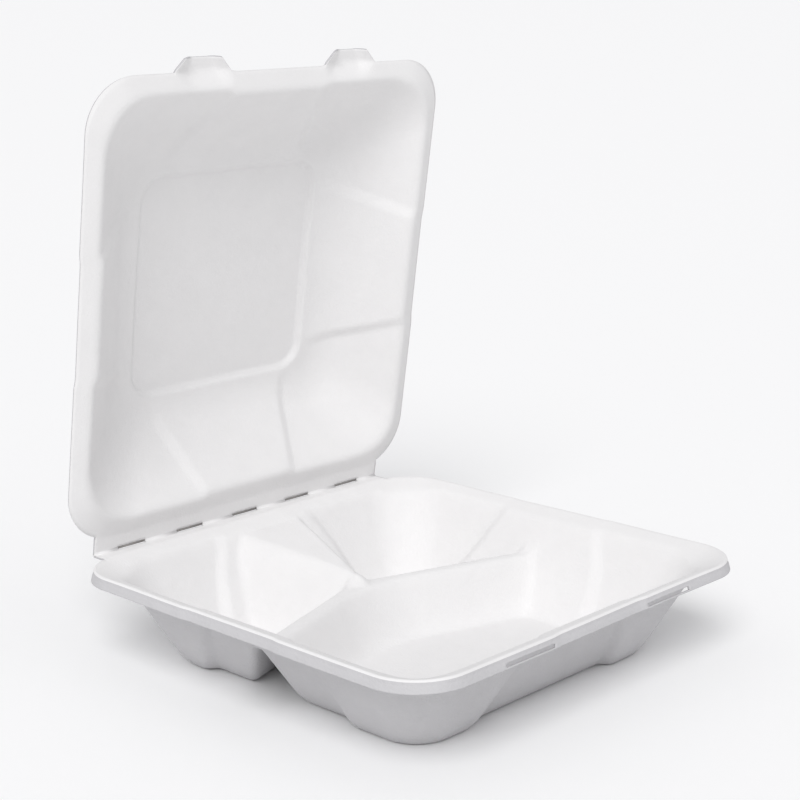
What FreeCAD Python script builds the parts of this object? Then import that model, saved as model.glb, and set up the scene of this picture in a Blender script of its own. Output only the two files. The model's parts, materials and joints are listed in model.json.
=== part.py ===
import FreeCAD, Part
import math
import os
import Sketcher

# Three-compartment moulded-pulp food container: a square tray and its hinged lid, one sheet of
# pulp folded along a perforated line. +Z is up. The origin is the middle of the face that the
# tray stands on, X runs along the fold and the fold is on the +Y side. Lengths are millimetres.

SIZES = [
    ("pulpWall", 0.9, "thickness of the moulded pulp"),
    ("skinShare", 0.65, "part of the wall that an outside outline grows where it is one wall lower"),
    ("crestHalf", 103.0, "centre of the tray to the crest of its rim, on every side"),
    ("rimHeight", 43.0, "standing face to the crest of the rim"),
    ("crestRadius", 23.0, "corner radius of the crest"),
    ("flangeWidth", 7.5, "sloping land inside the crest"),
    ("flangeDrop", 2.7, "fall of that land towards the inside"),
    ("creaseRadius", 27.0, "corner radius where the land meets the walls"),
    ("lipShoulder", 1.2, "how far the round of the lip reaches out and down from the crest"),
    ("lipReach", 2.2, "how far the foot of the lip stands outside the crest"),
    ("lipDrop", 5.0, "crest to the foot of the lip"),
    ("ledgeDepth", 18.0, "crest to the tops of the dividers"),
    ("ledgeInset", 15.5, "crest to the walls at divider level"),
    ("ledgeRadius", 24.0, "corner radius of the walls at divider level"),
    ("floorInset", 28.5, "crest to the walls at floor level, where they would meet without the round"),
    ("floorRadius", 17.0, "corner radius of the walls at floor level"),
    ("roundRise", 5.5, "height at which the walls begin to round into the floors"),
    ("roundTuck", 0.9, "how far the middle of that round stands in from the walls' foot"),
    ("roundSag", 1.5, "height of the middle of the round"),
    ("roundInset", 6.4, "how far the flat floor's edge stands in from the walls' foot"),
    ("dividerTop", 6.0, "width of a divider's flat top"),
    ("dividerSlope", 18.5, "degrees that the two side dividers run forward of square"),
    ("dividerApex", 36.0, "centre of the tray to the back edge of the side dividers"),
    ("dividerDraft", 11.5, "how far a divider's wall spreads down to the floor"),
    ("innerRadius", 15.0, "radius of the large compartment's corners beside the dividers"),
    ("smallRadius", 10.0, "radius of the small compartments' corners beside the side dividers"),
    ("junctionRadius", 9.0, "corner radius of the small compartments where the dividers meet"),
    ("apexRadius", 26.0, "radius of the large compartment's back where the dividers meet"),
    ("junctionShift", 15.0, "how far the small compartments' inner corners move outwards to the floor"),
    ("junctionRise", 7.0, "how far those corners move back towards the hinge to the floor"),
    ("crestJog", 0.6, "inset of each side's middle panel at the crest and lip"),
    ("creaseJog", 2.0, "inset of each side's middle panel at the land"),
    ("ledgeJog", 3.0, "inset of the middle panel at divider level"),
    ("floorJog", 4.5, "inset of the middle panel at floor level"),
    ("creasePanel", 24.0, "half length of the middle panel at the land"),
    ("ledgePanel", 32.0, "half length of the middle panel at divider level"),
    ("floorPanel", 40.5, "half length of the middle panel at floor level"),
    ("floorShift", 5.5, "how far the middle of a side wall's panel lies towards the hinge at floor level"),
    ("jogRun", 6.0, "length of the slant beside a middle panel"),
    ("rampHalf", 20.0, "half width of the ramp's head at the hinge wall"),
    ("rampFoot", 2.5, "half width of the ramp where it meets the side dividers"),
    ("rampFall", 11.0, "fall of the ramp from its head to its foot"),
    ("rampSpread", 4.0, "how far each flank of the ramp's head spreads down to divider level"),
    ("rampFootSpread", 1.0, "the same at the ramp's foot"),
    ("rampFlank", 8.0, "how far the small compartments' ramp corners move outwards to the floor"),
    ("rampRadius", 5.0, "radius of those corners"),
    ("foldGap", 6.5, "crest of the tray's rim to the fold line"),
    ("stripRoot", 1.5, "how far the hinge strip runs into the rim"),
    ("stripHalf", 87.5, "half length of the hinge strip"),
    ("perforationWidth", 1.3, "width of a perforation across the fold"),
    ("perforationLength", 15.5, "length of each of the five perforations"),
    ("perforationCount", 5, "number of perforations"),
    ("perforationPitch", 33.5, "distance between perforations"),
    ("cutHeight", 3.6, "height of the cuts for the perforations, half above and half below the rim"),
    ("tabCentre", 43.0, "centre of the tray to each lid tab and its slot"),
    ("slotLength", 28.0, "length of a tab slot in the front lip"),
    ("slotHeight", 1.5, "height of a tab slot"),
    ("slotDepth", 3.6, "crest to the middle of a tab slot"),
    ("lidEdgeGap", 0.6, "crest of the tray's rim to the edge of the closed lid"),
    ("nestGap", 0.3, "clearance between the closed lid and the tray"),
    ("lidHeight", 27.0, "fold to the top of the closed lid"),
    ("lidFlange", 8.3, "sloping land of the lid"),
    ("lidTopInset", 31.0, "land to the edge of the lid's top, where they would meet without the round"),
    ("lidEdgeRadius", 23.5, "corner radius of the lid's edge"),
    ("lidLandRadius", 27.5, "corner radius where the lid's land meets its walls"),
    ("lidTopRadius", 14.0, "corner radius of the lid's top"),
    ("lidRoundRise", 3.6, "height below the lid's top at which its walls begin to round"),
    ("lidRoundInset", 4.9, "how far the flat top's edge stands in from the walls' upper end"),
    ("lidTopPanel", 36.0, "half length of the middle panel at the lid's top"),
    ("raisedHalf", 51.0, "half side of the raised square on the lid"),
    ("raisedHeight", 1.8, "height of the raised square"),
    ("raisedRadius", 12.0, "corner radius of the raised square"),
    ("tabRoot", 32.0, "width of a lid tab at the lid's edge"),
    ("tabTip", 20.5, "width of a lid tab at its tip"),
    ("tabDish", 1.2, "how far the middle of a lid tab stands above its sides"),
    ("tabFlat", 0.62, "part of a tab's width that its raised middle takes"),
    ("tabOverlap", 0.9, "how far a tab is rooted inside the lid's edge"),
    ("tabReach", 5.5, "how far a lid tab stands past the lid's edge"),
    ("lidJog", 2.2, "inset of the lid's middle panels at its land"),
    ("lidTopJog", 4.0, "inset of the lid's middle panels at its top"),
    ("lidOpen", 80.5, "degrees that the lid is open, from closed"),
]

FLAT = "XY_Plane"
UPRIGHT = "XZ_Plane"

doc = FreeCAD.newDocument("FoodContainer")
sheet = doc.addObject("Spreadsheet::Sheet", "dims")
for row, (alias, value, note) in enumerate(SIZES, 1):
    sheet.set(f"A{row}", str(value))
    sheet.setAlias(f"A{row}", alias)
    sheet.set(f"B{row}", note)
doc.recompute()


def newBody(name):
    """An empty body for one form."""
    return doc.addObject("PartDesign::Body", name)


def originPlane(body, role):
    """The plane of the body's own origin that has this role."""
    return [feature for feature in body.Origin.OriginFeatures if feature.Role == role][0]


def cornerArc(before, corner, after, radius):
    """Entry, exit and centre of the arc that rounds a corner, and whether it turns left."""
    inward = (before - corner).normalize()
    outward = (after - corner).normalize()
    halfAngle = inward.getAngle(outward) / 2
    tangent = radius / math.tan(halfAngle)
    centre = corner + (inward + outward).normalize() * (radius / math.sin(halfAngle))
    turnsLeft = outward.cross(inward).z > 0
    return corner + inward * tangent, corner + outward * tangent, centre, turnsLeft


def outline(body, name, plane, offset, corners):
    """A closed sketch through corners given as (x, y, radius) expressions, counterclockwise.

    Each corner is a fixed point that its two lines pass through. Where it has a radius, an
    arc tangent to both lines rounds it, and otherwise the lines meet there.
    """
    sketch = body.newObject("Sketcher::SketchObject", name)
    sketch.AttachmentSupport = (originPlane(body, plane), "")
    sketch.MapMode = "FlatFace"
    sketch.setExpression("AttachmentOffset.Base.z", offset)

    count = len(corners)
    points = [FreeCAD.Vector(body.evalExpression(x), body.evalExpression(y), 0) for x, y, _ in corners]
    radii = [body.evalExpression(radius) if radius else 0 for _, _, radius in corners]
    arcs = []
    for index in range(count):
        if radii[index]:
            after = points[(index + 1) % count]
            arcs.append(cornerArc(points[index - 1], points[index], after, radii[index]))
        else:
            arcs.append((points[index], points[index], None, True))
    for index in range(count):
        after = (index + 1) % count
        if (arcs[after][0] - arcs[index][1]).dot(points[after] - points[index]) <= 0:
            raise RuntimeError("corners overlap in " + name)

    geometry = [Part.Point(point) for point in points]
    for index in range(count):
        geometry.append(Part.LineSegment(arcs[index][1], arcs[(index + 1) % count][0]))
    arcIds = {}
    for index, (entry, leave, centre, turnsLeft) in enumerate(arcs):
        if centre is None:
            continue
        arcIds[index] = len(geometry)
        start, end = (entry, leave) if turnsLeft else (leave, entry)
        circle = Part.Circle(centre, FreeCAD.Vector(0, 0, 1), radii[index])
        geometry.append(Part.ArcOfCircle(circle, circle.parameter(start), circle.parameter(end)))
    sketch.addGeometry(geometry, False)
    for index in range(count):
        sketch.setConstruction(index, True)

    constraints = []
    bound = []
    for index, (x, y, radius) in enumerate(corners):
        bound.append((len(constraints), x))
        constraints.append(Sketcher.Constraint("DistanceX", -1, 1, index, 1, points[index].x))
        bound.append((len(constraints), y))
        constraints.append(Sketcher.Constraint("DistanceY", -1, 1, index, 1, points[index].y))
        lineIn = count + (index - 1) % count
        lineOut = count + index
        if index in arcIds:
            entrySide, exitSide = (1, 2) if arcs[index][3] else (2, 1)
            constraints.append(Sketcher.Constraint("PointOnObject", index, 1, lineIn))
            constraints.append(Sketcher.Constraint("PointOnObject", index, 1, lineOut))
            constraints.append(Sketcher.Constraint("Tangent", lineIn, 2, arcIds[index], entrySide))
            constraints.append(Sketcher.Constraint("Tangent", lineOut, 1, arcIds[index], exitSide))
            bound.append((len(constraints), radius))
            constraints.append(Sketcher.Constraint("Radius", arcIds[index], radii[index]))
        else:
            constraints.append(Sketcher.Constraint("Coincident", lineIn, 2, index, 1))
            constraints.append(Sketcher.Constraint("Coincident", lineOut, 1, index, 1))
    sketch.addConstraint(constraints)
    for number, expression in bound:
        sketch.setExpression(f"Constraints[{number}]", expression)
    return sketch


def quarterTurn(corners, turns):
    """The same corners turned a number of quarter turns counterclockwise."""
    for _ in range(turns):
        corners = [(f"-({y})", x, radius) for x, y, radius in corners]
    return corners


def squareRing(half, radius, jog, panel):
    """A square outline whose four sides each have a middle panel set in by a small jog."""
    side = [
        (half, f"-({half})", radius),
        (half, f"-({panel} + dims.jogRun)", None),
        (f"{half} - {jog}", f"-({panel})", None),
        (f"{half} - {jog}", panel, None),
        (half, f"{panel} + dims.jogRun", None),
    ]
    ring = []
    for turns in range(4):
        ring += quarterTurn(side, turns)
    return ring


def crestRing(spread):
    """The crest's outline, moved outwards by spread."""
    return squareRing(f"dims.crestHalf + {spread}", "dims.crestRadius", "dims.crestJog", "dims.creasePanel")


def creaseRing(grow):
    """Where the rim's sloping land meets the walls."""
    half = f"dims.crestHalf - dims.flangeWidth + {grow}"
    return squareRing(half, "dims.creaseRadius", "dims.creaseJog", "dims.creasePanel")


def ledgeRing(grow):
    """The walls at the level of the dividers' tops."""
    half = f"dims.crestHalf - dims.ledgeInset + {grow}"
    return squareRing(half, "dims.ledgeRadius", "dims.ledgeJog", "dims.ledgePanel")


def dividerEdge(x, spread):
    """The y of a side divider's edge at x, moved by spread from the back edge of its top."""
    return f"dims.dividerApex + ({spread}) / cos(dims.dividerSlope) - tan(dims.dividerSlope) * ({x})"


def largeCompartment(half, radius, jog, panel, shift, spread):
    """The front compartment: square to the front and sides, and a blunt point to the back."""
    side = f"{half} - {jog}"
    right = [
        (panel, f"-({side})", None),
        (f"{panel} + dims.jogRun", f"-({half})", None),
        (half, f"-({half})", radius),
        (half, f"{shift} - ({panel} + dims.jogRun)", None),
        (side, f"{shift} - ({panel})", None),
        (side, dividerEdge(side, spread), "dims.innerRadius"),
    ]
    left = [(f"-({x})", y, radius) for x, y, radius in reversed(right)]
    return right + [("0", dividerEdge("0", spread), "dims.apexRadius")] + left


def smallCompartment(half, radius, jog, panel, shift, junction, spread, rampX, tighter):
    """The compartment at the right of the hinge side, with a flank along the ramp."""
    side = f"{half} - {jog}"
    return [
        (*junction, "dims.junctionRadius"),
        (side, dividerEdge(side, spread), f"dims.smallRadius - {tighter}"),
        (side, f"{panel} + {shift}", None),
        (half, f"{panel} + {shift} + dims.jogRun", None),
        (half, half, radius),
        (f"{panel} + dims.jogRun", half, None),
        (panel, side, None),
        (rampX, side, f"dims.rampRadius - {tighter}"),
    ]


def poolSizes(level, grow):
    """Half width, corner radius, jog, panel and shift of the walls at a level, and its set-in."""
    if level == "ledge":
        half = f"dims.crestHalf - dims.ledgeInset + {grow}"
        return (half, "dims.ledgeRadius", "dims.ledgeJog", "dims.ledgePanel", "0"), "0"
    inset = {"foot": "0", "round": "dims.roundTuck", "floor": "dims.roundInset"}[level]
    half = f"dims.crestHalf - dims.floorInset + {grow} - {inset}"
    radius = f"dims.floorRadius - {inset} / 2"
    return (half, radius, "dims.floorJog", "dims.floorPanel", "dims.floorShift"), inset


def largePool(level, grow):
    """The large compartment's outline at a level."""
    sizes, inset = poolSizes(level, grow)
    draft = "0" if level == "ledge" else f"dims.dividerDraft + {inset}"
    return largeCompartment(*sizes, f"-dims.dividerTop + {grow} - ({draft})")


def smallPool(level, grow):
    """The right small compartment's outline at a level."""
    sizes, inset = poolSizes(level, grow)
    junctionX = f"dims.rampFoot - {grow}"
    junctionY = dividerEdge("dims.rampFoot", f"-({grow})")
    rampX = f"dims.rampHalf + dims.rampSpread - {grow}"
    if level == "ledge":
        return smallCompartment(*sizes, (junctionX, junctionY), f"-({grow})", rampX, inset)
    junction = (f"{junctionX} + dims.junctionShift + {inset}", f"{junctionY} + dims.junctionRise + {inset}")
    return smallCompartment(*sizes, junction, f"dims.dividerDraft - {grow} + {inset}",
                            f"{rampX} + dims.rampFlank + {inset}", f"{inset} / 2")


def leftPool(level, grow):
    """The left small compartment's outline: the right one's over the YZ plane, still counterclockwise."""
    return [(f"-({x})", y, radius) for x, y, radius in reversed(smallPool(level, grow))]


def loft(body, kind, name, sketches):
    """A loft with straight walls through sketches of the same body."""
    feature = body.newObject(f"PartDesign::{kind}", name)
    feature.Profile = sketches[0]
    feature.Sections = sketches[1:]
    feature.Ruled = True
    for sketch in sketches:
        sketch.Visibility = False
    return feature


def between(upper, lower, share):
    """The outline that lies this share of the way down from one outline to another."""
    corners = []
    for above, below in zip(upper, lower):
        corners.append(tuple(f"({start}) + (({end}) - ({start})) * ({share})" if start else None
                             for start, end in zip(above, below)))
    return corners


def ramp(body, name, creaseLevel, ledgeLevel, drop, grow):
    """Cut the three-cornered ramp that leads from the hinge wall down to the dividers."""
    headY = "dims.crestHalf - dims.flangeWidth - dims.creaseJog"
    below = f"{ledgeLevel} - dims.pulpWall"
    headHalf = f"dims.rampHalf - {grow}"
    footHalf = f"dims.rampFoot - {grow}"
    footLevel = f"{creaseLevel} - dims.rampFall"
    head = outline(body, name + "RampHead", UPRIGHT, f"-({headY})",
                   trapezoid(f"{headHalf} + dims.rampSpread", below, headHalf, creaseLevel))
    foot = outline(body, name + "RampFoot", UPRIGHT, "-dims.dividerApex",
                   trapezoid(f"{footHalf} + dims.rampFootSpread", below, footHalf, footLevel))
    return loft(body, "SubtractiveLoft", name + "Ramp", [head, foot])


def trapezoid(lowHalf, low, highHalf, high):
    """Four sharp corners, symmetrical about the vertical axis."""
    return [
        (f"-({lowHalf})", low, None),
        (lowHalf, low, None),
        (highHalf, high, None),
        (f"-({highHalf})", high, None),
    ]


def trayForm(name, drop, grow):
    """The tray's bowl as a solid form: its inside, or its outside one wall lower and wider."""
    body = newBody(name)
    creaseLevel = f"dims.rimHeight - dims.flangeDrop - {drop}"
    ledgeLevel = f"dims.rimHeight - dims.ledgeDepth - {drop}"
    floorLevel = f"dims.pulpWall - {drop}"

    crest = outline(body, name + "Crest", FLAT, f"dims.rimHeight - {drop}", crestRing("0"))
    crease = outline(body, name + "Crease", FLAT, creaseLevel, creaseRing(grow))
    ledge = outline(body, name + "Ledge", FLAT, ledgeLevel, ledgeRing(grow))
    loft(body, "AdditiveLoft", name + "Land", [crest, crease])
    loft(body, "AdditiveLoft", name + "Basin", [crease, ledge])
    ramp(body, name, creaseLevel, ledgeLevel, drop, grow)

    shoulderShare = "1 - dims.roundRise / (dims.rimHeight - dims.ledgeDepth - dims.pulpWall)"
    for side, pool in (("Large", largePool), ("Right", smallPool), ("Left", leftPool)):
        top = pool("ledge", grow)
        shoulder = between(top, pool("foot", grow), shoulderShare)
        rings = [outline(body, name + side + part, FLAT, level, corners) for part, level, corners in (
            ("Top", ledgeLevel, top),
            ("Shoulder", f"{floorLevel} + dims.roundRise", shoulder),
            ("Round", f"{floorLevel} + dims.roundSag", pool("round", grow)),
            ("Floor", floorLevel, pool("floor", grow)))]
        loft(body, "AdditiveLoft", name + side, rings)
    return body


def lipForm(name, kind, body, thinner, drop):
    """The rim's lip from its foot over its shoulder to the crest, as a solid or a hollow."""
    foot = outline(body, name + "Foot", FLAT, "dims.rimHeight - dims.lipDrop",
                   crestRing(f"dims.lipReach - {thinner}"))
    shoulder = outline(body, name + "Shoulder", FLAT, "dims.rimHeight - dims.lipShoulder",
                       crestRing(f"dims.lipShoulder - {thinner}"))
    crest = outline(body, name + "Crest", FLAT, f"dims.rimHeight - {drop}", crestRing("0"))
    return loft(body, kind, name, [foot, shoulder, crest])


def box(name, length, width, height, x, y, z):
    """A box from its near left bottom corner, all given as expressions."""
    feature = doc.addObject("Part::Box", name)
    for key, expression in (("Length", length), ("Width", width), ("Height", height),
                            ("Placement.Base.x", x), ("Placement.Base.y", y), ("Placement.Base.z", z)):
        feature.setExpression(key, expression)
    return feature


def fuse(name, shapes):
    """One solid from several."""
    feature = doc.addObject("Part::MultiFuse", name)
    feature.Shapes = shapes
    return feature


def cut(name, base, tool):
    """The base with the tool's room taken out."""
    feature = doc.addObject("Part::Cut", name)
    feature.Base = base
    feature.Tool = tool
    return feature


def perforations(name):
    """Short slits through the sheet along the fold, half in the tray and half in the lid."""
    count = round(sheet.perforationCount)
    slits = []
    for index in range(count):
        place = f"({index} - (dims.perforationCount - 1) / 2) * dims.perforationPitch"
        slits.append(box(f"{name}{index + 1}", "dims.perforationLength", "dims.perforationWidth",
                         "dims.cutHeight", f"{place} - dims.perforationLength / 2",
                         "dims.crestHalf + dims.foldGap - dims.perforationWidth / 2",
                         "dims.rimHeight - dims.cutHeight / 2"))
    return slits


def hingeStrip(name, level):
    """The flat strip from the rim to the fold line."""
    root = "dims.crestJog + dims.stripRoot"
    return box(name, "2 * dims.stripHalf", f"dims.foldGap + {root}", "dims.pulpWall",
               "-dims.stripHalf", f"dims.crestHalf - ({root})", level)


def trayPiece():
    """The tray: compartments, rim with its lip and tab slots, and its half of the hinge."""
    lip = newBody("lipShell")
    lipForm("lipOutside", "AdditiveLoft", lip, "0", "0")
    lipForm("lipInside", "SubtractiveLoft", lip, "dims.pulpWall", "dims.pulpWall")
    outside = trayForm("trayOutside", "dims.pulpWall", "dims.pulpWall * dims.skinShare")
    inside = trayForm("trayInside", "0", "0")
    stripLevel = "dims.rimHeight - dims.nestGap / 2 - dims.pulpWall"
    strip = hingeStrip("trayStrip", stripLevel)
    hingeOpening = box("hingeOpening", "2 * dims.stripHalf", "2 * dims.lipReach", "dims.lipDrop",
                       "-dims.stripHalf", "dims.crestHalf - dims.crestJog", f"{stripLevel} - dims.lipDrop")
    slots = []
    for side, sign in (("Left", "-"), ("Right", "")):
        start = f"{sign}dims.tabCentre - dims.slotLength / 2"
        slots.append(box(f"tabSlot{side}", "dims.slotLength", "2 * dims.lipReach", "dims.slotHeight",
                         start, "-dims.crestHalf - 2 * dims.lipReach",
                         "dims.rimHeight - dims.slotDepth - dims.slotHeight / 2"))
    mass = fuse("trayMass", [cut("openLip", lip, hingeOpening), outside, strip])
    shell = cut("trayShell", mass, inside)
    tray = cut("tray", shell, fuse("trayOpenings", slots + perforations("trayPerforation")))
    tray.Label = "base_tray"
    tray.Placement = FreeCAD.Placement()
    return tray


def lidEdgeRing():
    """The closed lid's edge, just inside the crest of the tray's rim."""
    return squareRing("dims.crestHalf - dims.lidEdgeGap", "dims.lidEdgeRadius", "dims.crestJog",
                      "dims.creasePanel")


def lidLandRing(grow):
    """Where the lid's sloping land meets its walls."""
    half = f"dims.crestHalf - dims.lidEdgeGap - dims.lidFlange + {grow}"
    return squareRing(half, "dims.lidLandRadius", "dims.lidJog", "dims.creasePanel")


def lidTopRing(inset):
    """The upper end of the lid's walls, or its flat top set in from there."""
    half = f"dims.crestHalf - dims.lidEdgeGap - dims.lidFlange - dims.lidTopInset - {inset}"
    return squareRing(half, f"dims.lidTopRadius - ({inset}) / 2", "dims.lidTopJog", "dims.lidTopPanel")


def lidForm(name, rise, grow):
    """The closed lid as a solid form: its inside, or its outside one wall higher and wider."""
    body = newBody(name)
    slope = "dims.flangeDrop / dims.flangeWidth"
    edgeLevel = f"dims.rimHeight + dims.nestGap - {slope} * dims.lidEdgeGap + {rise}"
    landLevel = f"dims.rimHeight + dims.nestGap - {slope} * (dims.lidEdgeGap + dims.lidFlange) + {rise}"
    topLevel = f"dims.rimHeight + dims.lidHeight - dims.pulpWall + {rise}"
    lowest = "dims.rimHeight - dims.lipDrop"

    foot = outline(body, name + "Foot", FLAT, lowest, lidEdgeRing())
    edge = outline(body, name + "Edge", FLAT, edgeLevel, lidEdgeRing())
    land = outline(body, name + "Land", FLAT, landLevel, lidLandRing(grow))
    shoulderShare = f"1 - dims.lidRoundRise / ({topLevel} - ({landLevel}))"
    shoulder = outline(body, name + "Shoulder", FLAT, f"{topLevel} - dims.lidRoundRise",
                       between(lidLandRing(grow), lidTopRing(f"-({grow})"), shoulderShare))
    top = outline(body, name + "Top", FLAT, topLevel, lidTopRing(f"dims.lidRoundInset - {grow}"))
    loft(body, "AdditiveLoft", name + "Block", [foot, edge])
    loft(body, "SubtractiveLoft", name + "Funnel", [edge, land])
    loft(body, "AdditiveLoft", name + "Dome", [land, shoulder, top])

    half = f"dims.raisedHalf + {grow}"
    square = [(half, f"-({half})", "dims.raisedRadius")]
    raised = outline(body, name + "Square", FLAT, topLevel,
                     [corner for turns in range(4) for corner in quarterTurn(square, turns)])
    pad = body.newObject("PartDesign::Pad", name + "Raised")
    pad.Profile = raised
    pad.setExpression("Length", "dims.raisedHeight")
    raised.Visibility = False
    return body


def tabProfile(half, low):
    """The section of a lid tab: flat sides and a raised middle, all one wall thick."""
    middle = f"{half} * dims.tabFlat"
    under = [
        (f"-({half})", low, None),
        (f"-({middle})", f"{low} + dims.tabDish", None),
        (middle, f"{low} + dims.tabDish", None),
        (half, low, None),
    ]
    over = [(x, f"{z} + dims.pulpWall", None) for x, z, _ in reversed(under)]
    return under + over


def lidTab(name, sign):
    """One tapered tab that stands out past the lid's front edge."""
    body = newBody(name)
    low = "dims.rimHeight + dims.nestGap"
    edgeY = "dims.crestHalf - dims.lidEdgeGap"
    centre = f"{sign}dims.tabCentre"
    sketches = []
    for part, half, y in (("Root", "dims.tabRoot / 2", f"{edgeY} - dims.tabOverlap"),
                          ("Tip", "dims.tabTip / 2", f"{edgeY} + dims.tabReach")):
        profile = [(f"{centre} + {x}", z, None) for x, z, _ in tabProfile(half, low)]
        sketches.append(outline(body, name + part, UPRIGHT, y, profile))
    loft(body, "AdditiveLoft", name + "Tongue", sketches)
    return body


def lidPiece():
    """The lid: dome with its raised square, land, tabs and its half of the hinge, turned open."""
    outside = lidForm("lidOutside", "dims.pulpWall", "dims.pulpWall * dims.skinShare")
    inside = lidForm("lidInside", "0", "0")
    strip = hingeStrip("lidStrip", "dims.rimHeight + dims.nestGap / 2")
    tabs = [lidTab("tabLeft", "-"), lidTab("tabRight", "")]
    shell = cut("lidShell", outside, inside)
    solid = fuse("lidMass", [shell, strip] + tabs)
    lid = cut("closedLid", solid, fuse("lidOpenings", perforations("lidPerforation")))
    lid.Label = "lid"
    fold = FreeCAD.Vector(0, sheet.crestHalf + sheet.foldGap, sheet.rimHeight)
    turn = FreeCAD.Rotation(FreeCAD.Vector(-1, 0, 0), sheet.lidOpen)
    lid.Placement = FreeCAD.Placement(FreeCAD.Vector(), turn, fold)
    return lid


pieces = [trayPiece(), lidPiece()]
doc.recompute()

failed = [item.Name for item in doc.Objects if "Invalid" in item.State or "Error" in item.State]
if failed:
    raise RuntimeError("not built: " + ", ".join(failed))
os.makedirs("parts", exist_ok=True)
for piece in pieces:
    if piece.Shape.isNull() or not piece.Shape.isValid() or len(piece.Shape.Solids) != 1:
        raise RuntimeError("not one whole solid: " + piece.Label)
    piece.Shape.exportStep(f"parts/{piece.Label}.step")
    print(piece.Label, round(piece.Shape.Volume), "mm3", len(piece.Shape.Faces), "faces")
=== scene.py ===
import json
import math
import bpy
import numpy as np
from mathutils import Euler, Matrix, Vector


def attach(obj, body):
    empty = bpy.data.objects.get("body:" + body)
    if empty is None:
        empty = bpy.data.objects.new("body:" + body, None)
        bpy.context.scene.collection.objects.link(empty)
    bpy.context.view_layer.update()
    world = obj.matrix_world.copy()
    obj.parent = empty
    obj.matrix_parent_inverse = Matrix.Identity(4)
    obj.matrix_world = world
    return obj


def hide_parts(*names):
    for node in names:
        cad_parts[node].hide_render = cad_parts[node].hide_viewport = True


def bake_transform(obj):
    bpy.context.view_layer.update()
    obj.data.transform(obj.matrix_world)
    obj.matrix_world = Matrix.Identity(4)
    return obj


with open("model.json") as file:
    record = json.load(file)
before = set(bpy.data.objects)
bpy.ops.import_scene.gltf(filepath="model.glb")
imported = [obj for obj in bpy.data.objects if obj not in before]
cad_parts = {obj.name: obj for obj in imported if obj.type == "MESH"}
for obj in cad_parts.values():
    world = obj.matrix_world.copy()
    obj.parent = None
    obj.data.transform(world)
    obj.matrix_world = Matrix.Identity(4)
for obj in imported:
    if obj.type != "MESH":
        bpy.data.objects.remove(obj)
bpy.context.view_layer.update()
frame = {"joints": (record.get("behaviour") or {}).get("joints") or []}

mm = 0.001

# Three-compartment moulded pulp container with its lid open. Surfaces are worked out in millimetres,
# +Z up, with the fold along X on the +Y side. The tray and the lid are each one sheet of pulp, so each
# is one grid of points that is then given its wall. The lid is worked out closed, then turned open.

# the fold lies on the hinge joint's line, and the lid is shut at that joint's lower limit
hinge = frame["joints"][0]
fold = dict(y=hinge["pos_m"][1] / mm, z=hinge["pos_m"][2] / mm, openDegrees=-hinge["range_deg"][0],
            stripHalf=87.5, stripGap=0.15, slitLength=15.5, slitPitch=33.5, slitCount=5,
            slitDepth=0.65, slitTear=0.35)


def blendMax(a, b, width):
    # The larger of two heights; where they differ by less than the width, a parabola joins them.
    overlap = np.maximum(width - np.abs(a - b), 0.0)
    return np.maximum(a, b) + overlap ** 2 / (4.0 * width)


def blendMin(a, b, width):
    # The smaller of two heights, joined by a parabola in the same way.
    return -blendMax(-a, -b, width)


def smoothStep(t):
    # 0 below 0, 1 above 1, and 3t^2 - 2t^3 between.
    t = np.clip(t, 0.0, 1.0)
    return t * t * (3.0 - 2.0 * t)


def squareDistance(x, y, half, radius):
    # Distance from a square with rounded corners: outside positive, inside negative.
    # It is the distance from the smaller square through the corners' centres, less their radius.
    dx = np.abs(x) - (half - radius)
    dy = np.abs(y) - (half - radius)
    return np.hypot(np.maximum(dx, 0.0), np.maximum(dy, 0.0)) + np.minimum(np.maximum(dx, dy), 0.0) - radius


def panelSetIn(along, setIn, panel, run):
    # How far a side stands in: all of it up to the panel's end, then a slant that runs out to none.
    return setIn * smoothStep((panel + run - along) / run)


def landHeight(x, y, half, radius, height, slope, setIn, panel, run):
    # The land inside a rim or edge: it falls by the slope for each millimetre in from the set-in outline.
    inward = panelSetIn(np.minimum(np.abs(x), np.abs(y)), setIn, panel, run)
    return height + slope * np.minimum(squareDistance(x, y, half, radius) + inward, 0.0)


def wallHeight(x, y, levels, run):
    # The height at which the walls' outline passes over each point, found by halving.
    # The outline's size, corner radius and panels change straight from one level to the next.
    levels = np.array(levels)
    grows = levels[-1, 1] > levels[0, 1]
    low = np.full(x.shape, levels[0, 0])
    high = np.full(x.shape, levels[-1, 0])
    for _ in range(26):   # halves the height's range down to about a millionth of a millimetre
        z = (low + high) / 2.0
        half, radius, setIn, panel, shift = (np.interp(z, levels[:, 0], levels[:, k]) for k in range(1, 6))
        along = np.where(np.abs(x) > np.abs(y), np.abs(y - shift), np.abs(x))
        outside = squareDistance(x, y, half, radius) + panelSetIn(along, setIn, panel, run) > 0.0
        climbs = outside if grows else ~outside
        low = np.where(climbs, z, low)
        high = np.where(climbs, high, z)
    return (low + high) / 2.0


def outlinePoint(a, b, half, radius):
    # A point of the unit square's edge moved to the rounded square, by length along each side.
    flip = np.abs(b) > np.abs(a)
    main = np.where(flip, b, a)
    other = np.where(flip, a, b)
    straight = half - radius
    s = other * (straight + radius * math.pi / 4.0)
    angle = np.maximum(np.abs(s) - straight, 0.0) / radius
    out = straight + radius * np.cos(angle)
    side = np.where(angle > 0.0, np.sign(s) * (straight + radius * np.sin(angle)), s)
    out = np.sign(main) * out
    return np.where(flip, side, out), np.where(flip, out, side)


def loopSquare(cells):
    # The unit square's edge as one loop of points, from a corner counterclockwise.
    t = np.linspace(-1.0, 1.0, cells + 1)[:-1]
    one = np.ones(cells)
    return np.concatenate([one, -t, -one, t]), np.concatenate([t, one, -t, -one])


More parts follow.
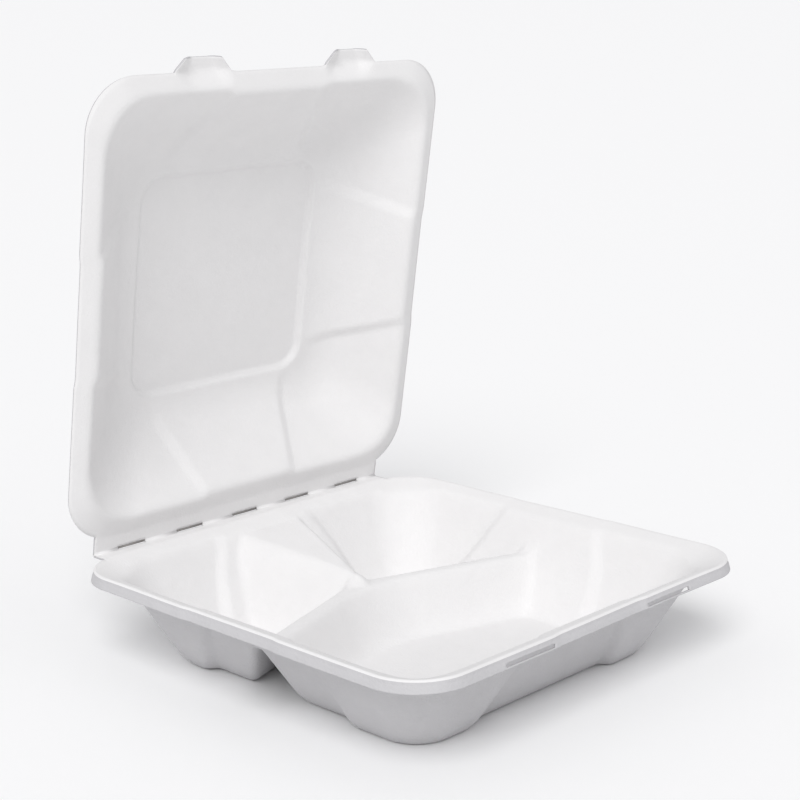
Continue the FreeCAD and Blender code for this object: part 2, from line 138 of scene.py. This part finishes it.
def panelledPoint(a, b, half, radius, setIn, panel, run):
    # A point of the rounded square, moved straight in by its side's panel.
    x, y = outlinePoint(a, b, half, radius)
    inward = panelSetIn(np.minimum(np.abs(x), np.abs(y)), setIn, panel, run)
    onX = np.abs(a) >= np.abs(b)
    return np.where(onX, x - np.sign(x) * inward, x), np.where(onX, y, y - np.sign(y) * inward)


def ringAround(cells, half, radius, setIn, panel, run):
    # One ring of points on a rounded square whose sides' middles are set in.
    a, b = loopSquare(cells)
    return panelledPoint(a, b, half, radius, setIn, panel, run)


def patchInside(cells, half, radius, setIn, panel, run):
    # The grid that fills a ring: even squares in the middle that turn into the ring at its edge.
    t = np.linspace(-1.0, 1.0, cells + 1)
    a, b = np.meshgrid(t, t, indexing="ij")
    reach = np.maximum(np.abs(a), np.abs(b))
    safe = np.where(reach > 0.0, reach, 1.0)
    edgeX, edgeY = panelledPoint(a / safe, b / safe, half, radius, setIn, panel, run)
    share = reach ** 4
    return a * half * (1.0 - share) + edgeX * reach * share, b * half * (1.0 - share) + edgeY * reach * share


tray = dict(
    wall=0.9,
    rimHeight=43.0, crestHalf=103.0, crestRadius=23.0,
    # height, half width, corner radius, set-in of the middle panels, half length of those panels,
    # and how far the side walls' panels lie towards the fold
    levels=[(-25.0, 63.8, 10.0, 5.9, 49.1, 11.4),
            (0.9, 74.5, 17.0, 4.5, 40.5, 5.5),
            (25.0, 87.5, 24.0, 3.0, 32.0, 0.0),
            (40.3, 95.5, 27.0, 2.0, 24.0, 0.0),
            (60.0, 105.8, 30.0, 1.0, 14.0, 0.0)],
    panelRun=6.0,
    # landLevel counts the levels from 0: the land ends on that one
    landLevel=3, landSlope=0.36, landSoft=2.2, crestSetIn=0.6,
    floorHeight=0.9, floorSoft=8.5,
    topHeight=25.0, topWidth=6.0, topSoft=1.6,
    armApex=36.0, armSlope=math.tan(math.radians(18.5)), armBackSoft=14.0, armFrontSoft=44.0,
    armSteep=2.1, armSoft=7.0,
    rampHead=39.3, rampHeadY=93.5, rampFoot=29.3, rampHeadHalf=20.0, rampFootHalf=2.5,
    rampSteep=1.85, rampSoft=(11.0, 3.4), rampSoftRun=12.0, rampArmSoft=9.0, rampFrontSoft=11.0,
    rampWallSoft=6.0, rampHeadSoft=1.2, headFrom=84.0, headRun=8.0,
    # distance out from the crest and height below it, down the lip to its foot: a slot is open from
    # the seventh of these points to the ninth, and the lip's painted shade, in the greyer material, begins
    # at the third
    lip=[(0.35, 0.05), (0.75, 0.30), (0.98, 0.80), (1.06, 1.40), (1.10, 1.95), (1.38, 2.40),
         (1.62, 2.85), (1.84, 3.60), (2.02, 4.35), (2.10, 4.70), (2.20, 5.00)],
    slotRows=(7, 9), paintedLipShadeRow=3, slotCentre=43.0, slotHalf=14.0,
    landRows=9, patchHalf=91.5, patchCells=168)


def trayHeight(x, y):
    # The tray's inside: the highest of floor, walls, side dividers and ramp, rounded together.
    p = tray
    walls = wallHeight(x, y, p["levels"], p["panelRun"])
    land = landHeight(x, y, p["crestHalf"], p["crestRadius"], p["rimHeight"], p["landSlope"],
                      p["crestSetIn"], p["levels"][p["landLevel"]][4], p["panelRun"])
    walls = blendMin(walls, land, p["landSoft"])

    # side dividers: a flat top between two planes, along a line bent at the middle, gently in front
    backBend, frontBend = blendMax(x, -x, p["armBackSoft"]), blendMax(x, -x, p["armFrontSoft"])
    square = math.cos(math.atan(p["armSlope"]))
    fromBack = (p["armApex"] - p["armSlope"] * backBend - y) * square
    fromFront = (p["armApex"] - p["armSlope"] * frontBend - y) * square - p["topWidth"]
    front = p["topHeight"] - p["armSteep"] * fromFront
    back = blendMin(p["topHeight"] + p["armSteep"] * fromBack, p["topHeight"], p["topSoft"])

    # ramp: a plane that falls to the dividers' meeting point, with a steep plane on either side,
    # its left edge rounder than its right
    share = (y - p["armApex"]) / (p["rampHeadY"] - p["armApex"])
    plane = p["rampFoot"] + (p["rampHead"] - p["rampFoot"]) * share
    halfWidth = p["rampFootHalf"] + (p["rampHeadHalf"] - p["rampFootHalf"]) * share
    soft = p["rampSoft"][0] + (p["rampSoft"][1] - p["rampSoft"][0]) * smoothStep(
        x / p["rampSoftRun"] + 0.5)
    ramp = blendMin(plane, plane - p["rampSteep"] * (np.abs(x) - halfWidth), soft)

    arms = blendMin(back, front, 2.0 * p["topSoft"])
    armsAndRamp = blendMin(blendMax(back, ramp, p["rampArmSoft"]), front, p["rampFrontSoft"])
    # the ramp runs softly into the walls, and crisply into the land, where the lid closes on it
    nearHead = smoothStep((y - p["headFrom"]) / p["headRun"])
    wallSoft = p["rampWallSoft"] + (p["rampHeadSoft"] - p["rampWallSoft"]) * nearHead
    height = np.maximum(blendMax(walls, arms, p["armSoft"]), blendMax(walls, armsAndRamp, wallSoft))
    return blendMax(height, p["floorHeight"], p["floorSoft"])


lid = dict(
    wall=0.9,
    edgeHalf=102.4, edgeRadius=23.5, edgeHeight=43.08,
    levels=[(20.0, 120.0, 40.0, 0.9, 8.0, 0.0),
            (40.1, 94.1, 27.5, 2.2, 24.0, 0.0),
            (69.1, 63.1, 14.0, 4.0, 36.0, 0.0),
            (90.0, 40.8, 4.3, 5.3, 45.0, 0.0)],
    panelRun=6.0,
    landLevel=1, landSlope=0.36, landSoft=2.4, edgeSetIn=0.6,
    topHeight=69.1, topSoft=7.5,
    squareHalf=51.0, squareRadius=12.0, squareRise=2.6, squareSoft=2.4,
    tabCentre=43.0, tabRootHalf=16.0, tabTipHalf=10.25, tabReach=5.5, tabLift=0.22,
    tabDish=2.9, tabFlat=0.40, tabRows=6, tabLead=8.0, landRows=9, patchHalf=90.5, patchCells=176)


def lidHeight(x, y):
    # The closed lid's inside: its land and walls, then its top with the square that stands up.
    p = lid
    walls = wallHeight(x, y, p["levels"], p["panelRun"])
    land = landHeight(x, y, p["edgeHalf"], p["edgeRadius"], p["edgeHeight"], p["landSlope"],
                      p["edgeSetIn"], p["levels"][p["landLevel"]][4], p["panelRun"])
    height = blendMax(walls, land, p["landSoft"])
    height = blendMin(height, p["topHeight"], p["topSoft"])
    square = squareDistance(x, y, p["squareHalf"], p["squareRadius"])
    return height + p["squareRise"] * smoothStep(0.5 - square / p["squareSoft"])


def sheetFaces(ringCount, cells, keep):
    # Faces of rings joined in turn, then of the patch inside the last ring.
    # keep says, for each row between rings and each step round, whether that face is there.
    around = 4 * cells
    ring, step = np.nonzero(keep)
    nextStep = (step + 1) % around
    strips = np.stack([ring * around + step, ring * around + nextStep,
                       (ring + 1) * around + nextStep, (ring + 1) * around + step], 1)

    # the patch's own edge points are the last ring's
    patch = np.full((cells + 1, cells + 1), -1)
    i = np.arange(cells)
    last = (ringCount - 1) * around
    patch[cells, i] = last + i
    patch[cells - i, cells] = last + cells + i
    patch[0, cells - i] = last + 2 * cells + i
    patch[i, 0] = last + 3 * cells + i
    inner = np.arange((cells - 1) ** 2).reshape(cells - 1, cells - 1)
    patch[1:-1, 1:-1] = ringCount * around + inner
    squares = np.stack([patch[:-1, :-1], patch[1:, :-1], patch[1:, 1:], patch[:-1, 1:]], -1).reshape(-1, 4)
    return np.concatenate([strips, squares])


def makeMesh(name, points, faces):
    # A mesh object at the origin from points in millimetres and faces of four corners.
    used = np.unique(faces)
    renumber = np.zeros(len(points), int)
    renumber[used] = np.arange(len(used))
    mesh = bpy.data.meshes.new(name)
    mesh.vertices.add(len(used))
    mesh.vertices.foreach_set("co", (points[used] * mm).astype(np.float32).ravel())
    mesh.loops.add(faces.size)
    mesh.loops.foreach_set("vertex_index", renumber[faces].astype(np.int32).ravel())
    mesh.polygons.add(len(faces))
    mesh.polygons.foreach_set("loop_start", np.arange(0, faces.size, faces.shape[1], dtype=np.int32))
    mesh.update(calc_edges=True)
    mesh.validate()
    mesh.shade_smooth()
    piece = bpy.data.objects.new(name, mesh)
    bpy.context.scene.collection.objects.link(piece)
    return piece


def giveWall(piece, thickness):
    # The second face of the sheet, this far behind the first, and the cut edges between them.
    # Both take the material after the first face's.
    wall = piece.modifiers.new("wall", "SOLIDIFY")
    wall.thickness = thickness * mm
    wall.offset = -1.0
    wall.use_even_offset = True
    wall.use_quality_normals = True
    wall.material_offset = 1
    wall.material_offset_rim = 1
    return wall


# the same for both sheets, so that they close on each other
unevenness = dict(
    size=0.35, length=120.0, foldFade=12.0, floorFrom=4.0, floorFade=30.0,
    # how many waves each has to the length along X and along Y, and where it starts
    crossed=[(1.0, 0.0, 0.7), (0.0, 1.3, 2.1), (0.8, 0.8, 4.0), (1.1, -1.1, 5.2)])


def waves(x, y):
    # The slow unevenness of a sheet that dried without a press: the mean of crossed sine waves,
    # which fades out towards the fold.
    p = unevenness
    k = 2.0 * math.pi / p["length"]
    crossed = np.mean([np.sin(k * (alongX * x + alongY * y) + start)
                       for alongX, alongY, start in p["crossed"]], axis=0)
    return p["size"] * crossed * smoothStep((fold["y"] - y) / p["foldFade"])


def slitEnds():
    # The two ends along X of every slit: the slits' centres are one pitch apart about the middle.
    p = fold
    centres = (np.arange(p["slitCount"]) - (p["slitCount"] - 1) / 2.0) * p["slitPitch"]
    return np.column_stack([centres - p["slitLength"] / 2.0, centres + p["slitLength"] / 2.0])


def slitGap(x):
    # Where along the fold a slit is open.
    left, right = slitEnds().T
    return np.any((x[:, None] > left) & (x[:, None] < right), axis=1)


def meetFold(x, y, onBack, half, radius):
    # The nearest points of the back edge go to the ends of the slits and of the strip,
    # and where that is on a corner they stay on its arc.
    marks = np.concatenate([slitEnds().ravel(), [-fold["stripHalf"], fold["stripHalf"]]])
    nearest = np.where(onBack[:, None], np.abs(x[:, None] - marks), np.inf).argmin(axis=0)
    bend = np.maximum(np.abs(marks) - (half - radius), 0.0)
    x, y = x.copy(), y.copy()
    x[nearest] = marks
    y[nearest] = np.where(bend > 0.0, half - radius + np.sqrt(radius ** 2 - bend ** 2), y[nearest])
    return x, y


def landRings(p, half, radius, setIn, firstRow, height):
    # Rings on the height's surface from the rim or edge in to the patch. Radius and set-in change
    # with the half width from the rim's own to the land's, and stay there further in.
    landHalf, landRadius, landSetIn, panel, _ = p["levels"][p["landLevel"]][1:]
    rings = []
    for row in range(firstRow, p["landRows"] + 1):
        ringHalf = half + (p["patchHalf"] - half) * row / p["landRows"]
        toLand = min((half - ringHalf) / (half - landHalf), 1.0)
        x, y = ringAround(p["patchCells"], ringHalf, radius + (landRadius - radius) * toLand,
                          setIn + (landSetIn - setIn) * toLand, panel, p["panelRun"])
        rings.append(np.stack([x, y, height(x, y)], 1))
    return rings


def patchPoints(p, height):
    # The patch's points on the height's surface, without its edge, which is the last ring.
    _, radius, setIn, panel, _ = p["levels"][p["landLevel"]][1:]
    x, y = patchInside(p["patchCells"], p["patchHalf"], radius, setIn, panel, p["panelRun"])
    x, y = x[1:-1, 1:-1].ravel(), y[1:-1, 1:-1].ravel()
    return np.stack([x, y, height(x, y)], 1)


def stepMiddle(values):
    # The value half way between each point of a ring and the next.
    return (values + np.roll(values, -1)) / 2.0


def buildTray():
    # The tray: lip rings from foot to crest, land rings inward, then the patch. On the fold's side
    # the lip is laid flat as the strip: its last row lies on the fold, the one before at the slits.
    p = tray
    cells = p["patchCells"]
    panel = p["levels"][p["landLevel"]][4]
    back = loopSquare(cells)[1] >= 1.0
    crestX, crestY = ringAround(cells, p["crestHalf"], p["crestRadius"], p["crestSetIn"],
                                panel, p["panelRun"])
    crestX, crestY = meetFold(crestX, crestY, back, p["crestHalf"], p["crestRadius"])
    onStrip = back & (np.abs(crestX) <= fold["stripHalf"])
    count = len(p["lip"])
    stripDrop = fold["z"] - fold["stripGap"] - p["rimHeight"]
    rings = []
    for row in range(count, 0, -1):
        out, down = p["lip"][row - 1]
        x, y = ringAround(cells, p["crestHalf"] + out, p["crestRadius"] + out, p["crestSetIn"],
                          panel, p["panelRun"])
        toSlits = fold["y"] - fold["slitDepth"] - crestY
        flatY = fold["y"] if row == count else crestY + toSlits * row / (count - 1)
        flatZ = p["rimHeight"] + stripDrop * smoothStep(2.0 * row / count)   # all of it by half way
        x = np.where(onStrip, crestX, x)
        y = np.where(onStrip, flatY, y)
        z = np.where(onStrip, flatZ, p["rimHeight"] - down)
        rings.append(np.stack([x, y, z], 1))
    rings.append(np.stack([crestX, crestY, np.full(crestX.shape, p["rimHeight"])], 1))
    rings += landRings(p, p["crestHalf"], p["crestRadius"], p["crestSetIn"], 1, trayHeight)

    # rows of faces are numbered from the lip's foot up, and are left out at the slots, at the ends
    # of the strip and at its slits
    keep = np.ones((len(rings) - 1, 4 * cells), bool)
    middleX, middleY = stepMiddle(crestX), stepMiddle(crestY)
    front = (middleY < 0.0) & (np.abs(middleY) > np.abs(middleX))
    slot = front & (np.abs(np.abs(middleX) - p["slotCentre"]) < p["slotHalf"])
    keep[count - p["slotRows"][1]:count - p["slotRows"][0], slot] = False
    stripEnd = onStrip != np.roll(onStrip, -1)
    keep[:count, stripEnd] = False
    slit = slitGap(middleX) & onStrip & np.roll(onStrip, -1)
    keep[0, slit] = False

    points = np.concatenate(rings + [patchPoints(p, trayHeight)])
    offFloor = smoothStep((points[:, 2] - unevenness["floorFrom"]) / unevenness["floorFade"])
    points[:, 2] += waves(points[:, 0], points[:, 1]) * offFloor   # the feet stay flat
    piece = makeMesh("traySheet", points, sheetFaces(len(rings), cells, keep))
    # the lip, up to its top rows, takes the greyer material as painted shade on its smooth face; the strip
    # and the land do not
    ring, step = np.nonzero(keep)
    paintedLipShade = np.zeros(len(piece.data.polygons), np.int32)
    paintedLipShade[:len(ring)] = (ring < count - p["paintedLipShadeRow"]) & ~onStrip[step]
    piece.data.polygons.foreach_set("material_index", paintedLipShade)
    giveWall(piece, p["wall"])
    return piece


def buildLid():
    # The lid in the same way, with its tabs and strip as rows beyond its edge, then turned open.
    p = lid
    cells = p["patchCells"]
    _, b = loopSquare(cells)
    back, front = b >= 1.0, b <= -1.0
    edgeX, edgeY = ringAround(cells, p["edgeHalf"], p["edgeRadius"], p["edgeSetIn"],
                              p["levels"][p["landLevel"]][4], p["panelRun"])
    edgeX, edgeY = meetFold(edgeX, edgeY, back, p["edgeHalf"], p["edgeRadius"])
    onStrip = back & (np.abs(edgeX) <= fold["stripHalf"])
    fromTab = np.abs(edgeX) - p["tabCentre"]
    onTab = front & (np.abs(fromTab) <= p["tabRootHalf"])
    across = np.clip(np.abs(fromTab) / p["tabRootHalf"], 0.0, 1.0)
    dish = p["tabDish"] * smoothStep((1.0 - across) / (1.0 - p["tabFlat"]))

    rings = []
    stripRise = fold["z"] + fold["stripGap"] - p["edgeHeight"]
    slitDepth = fold["slitDepth"] + fold["slitTear"]
    for row in range(p["tabRows"], 0, -1):
        share = row / p["tabRows"]
        narrow = 1.0 + (p["tabTipHalf"] / p["tabRootHalf"] - 1.0) * share
        tabX = np.sign(edgeX) * (p["tabCentre"] + fromTab * narrow)
        x = np.where(onTab, tabX, edgeX)
        y = np.where(onTab, edgeY - p["tabReach"] * share, edgeY)
        z = p["edgeHeight"] + p["tabLift"] + np.where(onTab, dish, 0.0)
        toSlits = fold["y"] - slitDepth - edgeY
        flatY = fold["y"] if share == 1.0 else edgeY + toSlits * row / (p["tabRows"] - 1)
        y = np.where(onStrip, flatY, y)
        z = np.where(onStrip, p["edgeHeight"] + stripRise * share, z)
        rings.append(np.stack([x, y, z], 1))
    count = len(rings)
    # the tabs' dish runs out into the land over their lead
    land = landRings(p, p["edgeHalf"], p["edgeRadius"], p["edgeSetIn"], 0, lidHeight)
    inward = np.linspace(0.0, p["edgeHalf"] - p["patchHalf"], len(land))
    for ring, distance in zip(land, inward):
        ring[:, 2] += np.where(onTab, dish, 0.0) * smoothStep(1.0 - distance / p["tabLead"])
    rings += land

    both = onTab & np.roll(onTab, -1) & (np.roll(np.sign(edgeX), -1) == np.sign(edgeX))
    strip = onStrip & np.roll(onStrip, -1)
    # beyond the edge there are faces only on the tabs and the strip, and none at the slits
    keep = np.ones((len(rings) - 1, 4 * cells), bool)
    keep[:count] = (both | strip)[None, :]
    keep[0, slitGap(stepMiddle(edgeX)) & strip] = False

    points = np.concatenate(rings + [patchPoints(p, lidHeight)])
    points[:, 2] += waves(points[:, 0], points[:, 1])
    # turned about the fold: forward by the cosine and up by the sine of the open angle
    turn = math.radians(fold["openDegrees"])
    y, z = points[:, 1] - fold["y"], points[:, 2] - fold["z"]
    points[:, 1] = fold["y"] + y * math.cos(turn) + z * math.sin(turn)
    points[:, 2] = fold["z"] - y * math.sin(turn) + z * math.cos(turn)
    faces = sheetFaces(len(rings), cells, keep)[:, ::-1]
    piece = makeMesh("lidSheet", points, faces)
    giveWall(piece, p["wall"])
    return piece


def loopPrism(profile, left, right):
    # A closed loop of (y, z) points carried straight along X, closed at either end by faces that
    # join each point of the loop's first half to its match in the second.
    size = len(profile)
    k = np.arange(size)
    points = np.concatenate([np.column_stack([np.full(size, x), profile]) for x in (left, right)])
    sides = np.column_stack([k, (k + 1) % size, size + (k + 1) % size, size + k])
    half = np.arange(size // 2 - 1)
    cap = np.column_stack([half, size - 1 - half, size - 2 - half, half + 1])
    return points, np.concatenate([sides, cap, cap[:, ::-1] + size])


def joinParts(parts):
    # The points and faces of several parts as one set.
    starts = np.cumsum([0] + [len(points) for points, _ in parts[:-1]])
    return (np.concatenate([points for points, _ in parts]),
            np.concatenate([faces + start for (_, faces), start in zip(parts, starts)]))


# radii of the bent pulp's outside, of the hollow in front and of the wall's middle, the steps
# round the bend, and how deep it is sunk in the strips
web = dict(outer=1.02, hollow=1.3, middle=0.6, steps=8, sunk=0.03)


def buildFold():
    # The bent pulp between the slits: an arc of wall behind the fold line, and in front of it a
    # hollow arc that touches both strips, its centre one radius away from each.
    p = web
    opened = math.radians(fold["openDegrees"])
    angles = np.linspace(0.0, math.pi - opened, p["steps"] + 1)
    outer = np.column_stack([np.sin(angles), -np.cos(angles)]) * p["outer"]
    gap = fold["stripGap"] + p["sunk"]
    middle = (gap - p["hollow"]) / math.tan(opened / 2.0)
    inner = np.column_stack([middle + p["hollow"] * np.sin(angles),
                             p["hollow"] * (1.0 - np.cos(angles)) - gap])[::-1]
    profile = np.concatenate([outer, inner]) + [fold["y"], fold["z"]]
    cuts = np.concatenate([[-fold["stripHalf"]], slitEnds().ravel(), [fold["stripHalf"]]]).reshape(-1, 2)
    return makeMesh("foldWeb", *joinParts([loopPrism(profile, left, right) for left, right in cuts]))


# reach into the lid and past the fold, depth of its two faces in the lid's wall, room at its ends
slitShadeSheet = dict(above=1.25, below=0.30, front=0.42, back=0.66, clear=0.03)


def buildSlitShadeSheets():
    # A thin flat in each slit, painted shade: its darker grey stands for the shade seen through the slit.
    # Its top edge is in the lid's wall, and it turns with it.
    p = slitShadeSheet
    turn = math.radians(fold["openDegrees"])
    y = np.array([-p["above"], p["below"], p["below"], -p["above"]])
    z = np.array([p["front"], p["front"], p["back"], p["back"]])
    profile = np.column_stack([y * math.cos(turn) + z * math.sin(turn) + fold["y"],
                               -y * math.sin(turn) + z * math.cos(turn) + fold["z"]])
    parts = [loopPrism(profile, left + p["clear"], right - p["clear"]) for left, right in slitEnds()]
    return makeMesh("slitShadeSheets", *joinParts(parts))


def srgb(code):
    # A hex colour as linear values: a dark channel is divided by 12.92, and any other is raised to
    # the power 2.4 after 0.055 is added and it is divided by 1.055.
    channels = [int(code[k:k + 2], 16) / 255.0 for k in (1, 3, 5)]
    linear = [c / 12.92 if c <= 0.04045 else ((c + 0.055) / 1.055) ** 2.4 for c in channels]
    return (*linear, 1.0)


def addNode(tree, kind, settings, links):
    # A node of this kind with its properties or sockets set and its sockets linked from others.
    node = tree.nodes.new(kind)
    for key, value in settings.items():
        if key in node.inputs.keys():
            node.inputs[key].default_value = value
        else:
            setattr(node, key, value)
    for key, source in links.items():
        tree.links.new(source, node.inputs[key])
    return node


# each finish: its two mottled colours, then how deep its grain and its fibres are, in millimetres
pulp = dict(
    inner=("#ebeaea", "#e5e4e4", 0.09, 0.10),
    # the outer colours: greyer than the inner partly as painted shade, besides the screen face's deeper
    # grain
    outer=("#cac9cb", "#c0bfc1", 0.30, 0.24),
    # painted shade: the colours of the sheets in the slits
    paintedSlitShade=("#bab6b3", "#a5a19e", 0.20, 0.20),
    roughness=0.82, ior=1.45,
    mottleMm=14.0, fibreMm=1.6, grainMm=0.9, fibreStretch=(1.0, 0.35, 1.0), fibreTurn=(0.3, 0.2, 0.6))


def pulpMaterial(name, finish):
    # Moulded bagasse pulp: matt, off-white, faintly mottled, with short fibres in its surface.
    # Fibres and grain are finer than this in fact, and drawn this coarse so that they show.
    p = pulp
    palest, darkest, grainDepth, fibreDepth = finish
    material = bpy.data.materials.new(name)
    material.use_nodes = True
    tree = material.node_tree
    tree.nodes.clear()
    place = addNode(tree, "ShaderNodeTexCoord", {}, {})
    mottle = addNode(tree, "ShaderNodeTexNoise", {"Scale": 1.0 / (p["mottleMm"] * mm), "Detail": 4.0,
                     "Roughness": 0.6}, {"Vector": place.outputs["Object"]})
    mix = addNode(tree, "ShaderNodeMix", {"data_type": "RGBA"}, {"Factor": mottle.outputs["Fac"]})
    mix.inputs[6].default_value = srgb(palest)   # sockets 6 and 7 hold the colours when it mixes colours
    mix.inputs[7].default_value = srgb(darkest)
    stretch = addNode(tree, "ShaderNodeMapping", {"Scale": p["fibreStretch"], "Rotation": p["fibreTurn"]},
                      {"Vector": place.outputs["Object"]})
    fibre = addNode(tree, "ShaderNodeTexNoise", {"Scale": 1.0 / (p["fibreMm"] * mm), "Detail": 3.0,
                    "Roughness": 0.55, "Distortion": 0.6}, {"Vector": stretch.outputs["Vector"]})
    grain = addNode(tree, "ShaderNodeTexNoise", {"Scale": 1.0 / (p["grainMm"] * mm), "Detail": 2.0,
                    "Roughness": 0.5}, {"Vector": place.outputs["Object"]})
    fibreBump = addNode(tree, "ShaderNodeBump", {"Strength": 1.0, "Distance": fibreDepth * mm},
                        {"Height": fibre.outputs["Fac"]})
    grainBump = addNode(tree, "ShaderNodeBump", {"Strength": 1.0, "Distance": grainDepth * mm},
                        {"Height": grain.outputs["Fac"], "Normal": fibreBump.outputs["Normal"]})
    surface = addNode(tree, "ShaderNodeBsdfPrincipled", {"Roughness": p["roughness"], "IOR": p["ior"]},
                      {"Base Color": mix.outputs[2], "Normal": grainBump.outputs["Normal"]})
    addNode(tree, "ShaderNodeOutputMaterial", {}, {"Surface": surface.outputs["BSDF"]})
    return material


# the face pressed on the smooth tool: bright, matt and nearly even
smoothPulp = pulpMaterial("mouldedPulpSmooth", pulp["inner"])
# the face that formed on the wire screen: rougher and speckled; its greyer colour is partly painted shade,
# for the outer walls that face down and away from the light
screenAndShadePulp = pulpMaterial("mouldedPulpScreenAndShade", pulp["outer"])
# painted shade in the slits: a darker grey for the sheets that stand where little light gets in between the
# walls
slitShadePulp = pulpMaterial("paintedSlitShadePulp", pulp["paintedSlitShade"])


def finishPiece(piece, body, node):
    # Materials, body and the CAD node that the piece stands for.
    piece.data.materials.append(smoothPulp)
    piece.data.materials.append(screenAndShadePulp)
    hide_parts(node)
    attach(piece, body)


traySheet = buildTray()
finishPiece(traySheet, "tray", "base_tray")
print("tray sheet:", len(traySheet.data.polygons), "faces")

lidSheet = buildLid()
finishPiece(lidSheet, "cover", "lid")
print("lid sheet:", len(lidSheet.data.polygons), "faces")

foldWeb = buildFold()
foldWeb.data.materials.append(smoothPulp)
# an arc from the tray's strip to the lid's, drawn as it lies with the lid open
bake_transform(foldWeb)
print("fold web:", len(foldWeb.data.polygons), "faces")

# the sheets in the slits are painted shade, in a darker grey
slitShadeSheets = buildSlitShadeSheets()
slitShadeSheets.data.materials.append(slitShadePulp)
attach(slitShadeSheets, "cover")
print("slit fibres:", len(slitShadeSheets.data.polygons), "faces")


# metres, degrees, and the lens in millimetres on a film 36 mm wide
camera = dict(place=(-0.5258, -0.5080, 0.2846), yaw=-45.7, pitch=-13.1, roll=-0.9, lens=79.64, film=36.0,
              nearest=0.01, farthest=2000.0)


def makeCamera():
    # A camera at a place, turned by yaw about Z, pitch above the horizon and roll about its view.
    p = camera
    data = bpy.data.cameras.new("camera")
    data.lens = p["lens"]
    data.sensor_width = p["film"]
    data.clip_start = p["nearest"]
    data.clip_end = p["farthest"]
    eye = bpy.data.objects.new("camera", data)
    turned = Euler((math.radians(90.0 + p["pitch"]), 0.0, math.radians(p["yaw"])), "XYZ").to_matrix()
    eye.rotation_euler = (turned @ Euler((0.0, 0.0, math.radians(p["roll"])), "XYZ").to_matrix()).to_euler()
    eye.location = p["place"]
    bpy.context.scene.collection.objects.link(eye)
    bpy.context.scene.camera = eye


# the lamp's spread is in degrees, and the floor is so wide, in metres, that it ends at the horizon
studio = dict(sky=0.60, skyColour="#fdfdff", lamp=1.70, lampSpread=34.0, lampFrom=(-0.58, -0.42, 0.70),
              floorHalf=600.0, floorColour="#fdfdfd", floorRoughness=0.9)


def makeStudio():
    # A pale floor under an even pale sky, and one wide soft lamp far off to the upper left.
    p = studio
    size = p["floorHalf"]
    corners = [(-size, -size, 0), (size, -size, 0), (size, size, 0), (-size, size, 0)]
    mesh = bpy.data.meshes.new("floor")
    mesh.from_pydata(corners, [], [(0, 1, 2, 3)])
    floor = bpy.data.objects.new("floor", mesh)
    material = bpy.data.materials.new("paleFloor")
    material.use_nodes = True
    surface = material.node_tree.nodes["Principled BSDF"]
    surface.inputs["Base Color"].default_value = srgb(p["floorColour"])
    surface.inputs["Roughness"].default_value = p["floorRoughness"]
    mesh.materials.append(material)
    bpy.context.scene.collection.objects.link(floor)

    world = bpy.data.worlds.new("sky")
    world.use_nodes = True
    world.node_tree.nodes["Background"].inputs["Color"].default_value = srgb(p["skyColour"])
    world.node_tree.nodes["Background"].inputs["Strength"].default_value = p["sky"]
    bpy.context.scene.world = world

    light = bpy.data.lights.new("lamp", "SUN")
    light.energy = p["lamp"]
    light.angle = math.radians(p["lampSpread"])
    lamp = bpy.data.objects.new("lamp", light)
    lamp.rotation_euler = Vector(p["lampFrom"]).to_track_quat("Z", "Y").to_euler()
    lamp.location = p["lampFrom"]
    bpy.context.scene.collection.objects.link(lamp)
    bpy.context.scene.view_settings.view_transform = "Standard"   # whites stay white, as in a catalogue


makeCamera()
makeStudio()
print("camera, floor and light are in place")
